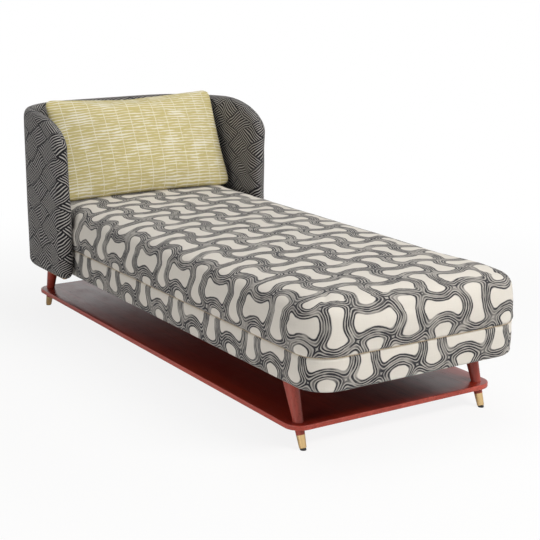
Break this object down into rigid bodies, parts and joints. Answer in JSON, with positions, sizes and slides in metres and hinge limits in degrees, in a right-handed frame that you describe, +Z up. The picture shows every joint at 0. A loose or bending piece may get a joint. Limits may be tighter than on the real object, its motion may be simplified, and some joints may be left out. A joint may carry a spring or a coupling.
{
  "type": "chaise longue",
  "caption": "Upholstered chaise longue: long cushioned seat in a padded U-shaped head shell, loose back cushion, and splayed turned legs that pass through a low storage shelf.",
  "frame": {"origin": "on the floor, at the centre of the plan", "axes": "+Z up, +Y along the length to the head end, +X to the right of someone who looks from the foot end to the head end"},
  "size_m": [0.853, 2.0217, 0.7927],
  "materials": {
    "lacquered_wood": "red-brown satin lacquer",
    "frame_timber": "sawn and unfinished",
    "satin_brass": "satin",
    "zinc_steel": "zinc plated",
    "glide_black": "matt",
    "seat_cloth": "woven cream ground with charcoal print",
    "head_cloth": "woven near-black ground with fine pale lines",
    "cushion_cloth": "woven olive-yellow with cream slubs",
    "foam": "open-cell foam and fibre",
    "dust_cloth": "non-woven"
  },
  "bodies": {
    "couch": {"base_cover": "seat_cloth", "corner_block_foot_left": "frame_timber", "corner_block_foot_right": "frame_timber", "corner_block_head_left": "frame_timber", "corner_block_head_right": "frame_timber", "corner_rail_foot_left": "frame_timber", "corner_rail_foot_right": "frame_timber", "corner_rail_head_left": "frame_timber", "corner_rail_head_right": "frame_timber", "cross_rail_foot": "frame_timber", "cross_rail_head": "frame_timber", "deck": "frame_timber", "dust_cover": "dust_cloth", "ferrule_foot_left": "satin_brass", "ferrule_foot_right": "satin_brass", "ferrule_head_left": "satin_brass", "ferrule_head_right": "satin_brass", "foot_rail": "frame_timber", "head_board": "frame_timber", "head_bolt_back_left": "zinc_steel", "head_bolt_back_right": "zinc_steel", "head_bolt_left_front": "zinc_steel", "head_bolt_left_rear": "zinc_steel", "head_bolt_right_front": "zinc_steel", "head_bolt_right_rear": "zinc_steel", "head_cover": "head_cloth", "head_rail": "frame_timber", "leg_foot_left": "lacquered_wood", "leg_foot_right": "lacquered_wood", "leg_head_left": "lacquered_wood", "leg_head_right": "lacquered_wood", "mattress_core": "foam", "mattress_cover": "seat_cloth", "shelf": "lacquered_wood", "side_rail_left": "frame_timber", "side_rail_right": "frame_timber", "tie_rod_foot_left": "zinc_steel", "tie_rod_foot_right": "zinc_steel", "tie_rod_head_left": "zinc_steel", "tie_rod_head_right": "zinc_steel", "toe_foot_left": "lacquered_wood", "toe_foot_right": "lacquered_wood", "toe_head_left": "lacquered_wood", "toe_head_right": "lacquered_wood"},
    "glide_foot_left": {"glide_foot_left": "glide_black"},
    "glide_foot_right": {"glide_foot_right": "glide_black"},
    "glide_head_left": {"glide_head_left": "glide_black"},
    "glide_head_right": {"glide_head_right": "glide_black"},
    "cushion": {"cushion_cover": "cushion_cloth", "cushion_filling": "foam"}
  },
  "joints": [
    {"name": "level_foot_left", "type": "slide", "parent": "couch", "child": "glide_foot_left", "axis": [0, -0.3322, -0.9432], "range_m": [0, 0.01]},
    {"name": "level_foot_right", "type": "slide", "parent": "couch", "child": "glide_foot_right", "axis": [0, -0.3322, -0.9432], "range_m": [0, 0.01]},
    {"name": "level_head_left", "type": "slide", "parent": "couch", "child": "glide_head_left", "axis": [0, 0.3322, -0.9432], "range_m": [0, 0.01]},
    {"name": "level_head_right", "type": "slide", "parent": "couch", "child": "glide_head_right", "axis": [0, 0.3322, -0.9432], "range_m": [0, 0.01]},
    {"name": "cushion_lift", "type": "slide", "parent": "couch", "child": "cushion", "axis": [0, 0, 1], "range_m": [0, 0.45]}
  ]
}
